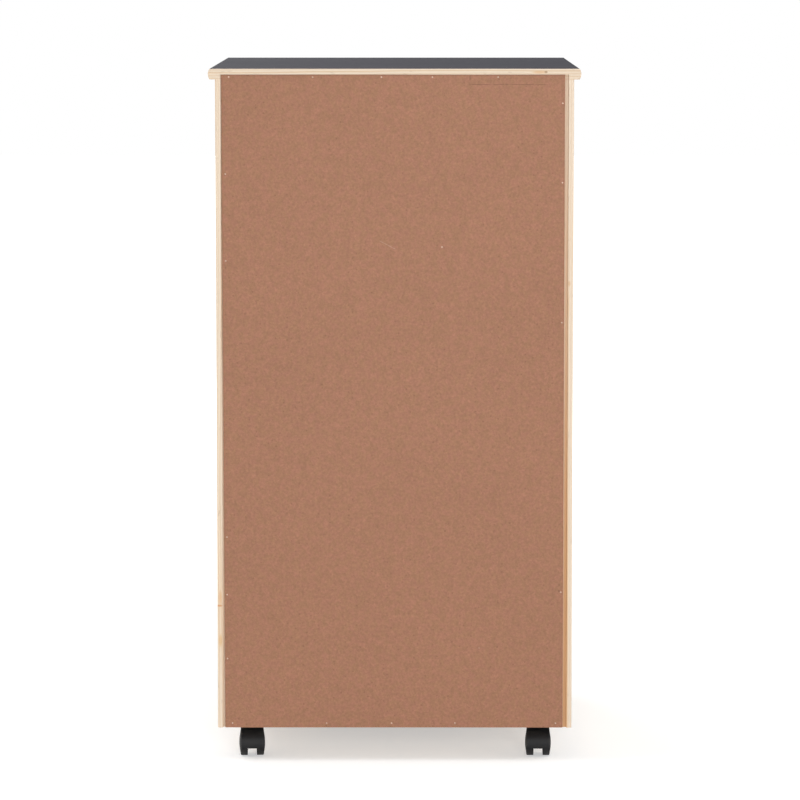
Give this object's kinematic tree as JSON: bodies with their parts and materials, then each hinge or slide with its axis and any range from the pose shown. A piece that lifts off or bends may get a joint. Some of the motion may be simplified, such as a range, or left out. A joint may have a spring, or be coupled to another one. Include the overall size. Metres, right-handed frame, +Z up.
{
  "type": "rolling drawer cabinet",
  "caption": "Narrow wooden drawer cabinet with a dark top, nailed hardboard back and inset drawers on wooden runners, standing on swivelling twin-wheel casters.",
  "frame": {"origin": "on the floor, in the middle of the plan", "axes": "+Z up, drawers face -Y, back panel at +Y, +X to the right when facing the drawers"},
  "size_m": [0.42, 0.516, 0.79],
  "materials": {
    "pine": "bare, sanded",
    "hardboard": "smooth, bare",
    "charcoal": "matt paint",
    "black_plastic": "satin",
    "steel": "zinc plated"
  },
  "bodies": {
    "case": {"top_panel": "charcoal", "side_panel_left": "pine", "side_panel_right": "pine", "base_panel": "pine", "back_panel": "hardboard", "back_panel_nails": "steel", "case_dowels": "pine", "drawer_runners_left": "pine", "drawer_runners_right": "pine", "runner_screws": "steel", "caster_plates": "steel", "caster_kingpins": "steel", "caster_screws": "steel"},
    "drawer_1": {"drawer_1_front": "charcoal", "drawer_1_side_left": "pine", "drawer_1_side_right": "pine", "drawer_1_back": "pine", "drawer_1_bottom": "hardboard", "drawer_1_knob": "pine"},
    "drawer_2": {"drawer_2_front": "charcoal", "drawer_2_side_left": "pine", "drawer_2_side_right": "pine", "drawer_2_back": "pine", "drawer_2_bottom": "hardboard", "drawer_2_knob": "pine"},
    "drawer_3": {"drawer_3_front": "charcoal", "drawer_3_side_left": "pine", "drawer_3_side_right": "pine", "drawer_3_back": "pine", "drawer_3_bottom": "hardboard", "drawer_3_knob": "pine"},
    "drawer_4": {"drawer_4_front": "charcoal", "drawer_4_side_left": "pine", "drawer_4_side_right": "pine", "drawer_4_back": "pine", "drawer_4_bottom": "hardboard", "drawer_4_knob": "pine"},
    "drawer_5": {"drawer_5_front": "charcoal", "drawer_5_side_left": "pine", "drawer_5_side_right": "pine", "drawer_5_back": "pine", "drawer_5_bottom": "hardboard", "drawer_5_knob": "pine"},
    "caster_front_left": {"caster_front_left_housing": "black_plastic", "caster_front_left_axle": "steel"},
    "caster_front_left_wheel_left": {"caster_front_left_wheel_left": "black_plastic"},
    "caster_front_left_wheel_right": {"caster_front_left_wheel_right": "black_plastic"},
    "caster_front_right": {"caster_front_right_housing": "black_plastic", "caster_front_right_axle": "steel"},
    "caster_front_right_wheel_left": {"caster_front_right_wheel_left": "black_plastic"},
    "caster_front_right_wheel_right": {"caster_front_right_wheel_right": "black_plastic"},
    "caster_rear_left": {"caster_rear_left_housing": "black_plastic", "caster_rear_left_axle": "steel"},
    "caster_rear_left_wheel_left": {"caster_rear_left_wheel_left": "black_plastic"},
    "caster_rear_left_wheel_right": {"caster_rear_left_wheel_right": "black_plastic"},
    "caster_rear_right": {"caster_rear_right_housing": "black_plastic", "caster_rear_right_axle": "steel"},
    "caster_rear_right_wheel_left": {"caster_rear_right_wheel_left": "black_plastic"},
    "caster_rear_right_wheel_right": {"caster_rear_right_wheel_right": "black_plastic"}
  },
  "joints": [
    {"name": "drawer_1_slide", "type": "slide", "parent": "case", "child": "drawer_1", "axis": [0, -1, 0], "range_m": [0, 0.34]},
    {"name": "drawer_2_slide", "type": "slide", "parent": "case", "child": "drawer_2", "axis": [0, -1, 0], "range_m": [0, 0.34]},
    {"name": "drawer_3_slide", "type": "slide", "parent": "case", "child": "drawer_3", "axis": [0, -1, 0], "range_m": [0, 0.34]},
    {"name": "drawer_4_slide", "type": "slide", "parent": "case", "child": "drawer_4", "axis": [0, -1, 0], "range_m": [0, 0.34]},
    {"name": "drawer_5_slide", "type": "slide", "parent": "case", "child": "drawer_5", "axis": [0, -1, 0], "range_m": [0, 0.34]},
    {"name": "caster_front_left_swivel", "type": "hinge", "parent": "case", "child": "caster_front_left", "pos_m": [-0.165, -0.184, 0.03], "axis": [0, 0, 1], "continuous": true},
    {"name": "caster_front_left_wheel_left_spin", "type": "hinge", "parent": "caster_front_left", "child": "caster_front_left_wheel_left", "pos_m": [-0.165, -0.174, 0.015], "axis": [1, 0, 0], "continuous": true},
    {"name": "caster_front_left_wheel_right_spin", "type": "hinge", "parent": "caster_front_left", "child": "caster_front_left_wheel_right", "pos_m": [-0.165, -0.174, 0.015], "axis": [1, 0, 0], "continuous": true},
    {"name": "caster_front_right_swivel", "type": "hinge", "parent": "case", "child": "caster_front_right", "pos_m": [0.165, -0.184, 0.03], "axis": [0, 0, 1], "continuous": true},
    {"name": "caster_front_right_wheel_left_spin", "type": "hinge", "parent": "caster_front_right", "child": "caster_front_right_wheel_left", "pos_m": [0.165, -0.174, 0.015], "axis": [1, 0, 0], "continuous": true},
    {"name": "caster_front_right_wheel_right_spin", "type": "hinge", "parent": "caster_front_right", "child": "caster_front_right_wheel_right", "pos_m": [0.165, -0.174, 0.015], "axis": [1, 0, 0], "continuous": true},
    {"name": "caster_rear_left_swivel", "type": "hinge", "parent": "case", "child": "caster_rear_left", "pos_m": [-0.165, 0.208, 0.03], "axis": [0, 0, 1], "continuous": true},
    {"name": "caster_rear_left_wheel_left_spin", "type": "hinge", "parent": "caster_rear_left", "child": "caster_rear_left_wheel_left", "pos_m": [-0.165, 0.218, 0.015], "axis": [1, 0, 0], "continuous": true},
    {"name": "caster_rear_left_wheel_right_spin", "type": "hinge", "parent": "caster_rear_left", "child": "caster_rear_left_wheel_right", "pos_m": [-0.165, 0.218, 0.015], "axis": [1, 0, 0], "continuous": true},
    {"name": "caster_rear_right_swivel", "type": "hinge", "parent": "case", "child": "caster_rear_right", "pos_m": [0.165, 0.208, 0.03], "axis": [0, 0, 1], "continuous": true},
    {"name": "caster_rear_right_wheel_left_spin", "type": "hinge", "parent": "caster_rear_right", "child": "caster_rear_right_wheel_left", "pos_m": [0.1643, 0.21798, 0.015], "axis": [0.9976, 0.0698, 0], "continuous": true},
    {"name": "caster_rear_right_wheel_right_spin", "type": "hinge", "parent": "caster_rear_right", "child": "caster_rear_right_wheel_right", "pos_m": [0.1643, 0.21798, 0.015], "axis": [0.9976, 0.0698, 0], "continuous": true}
  ]
}
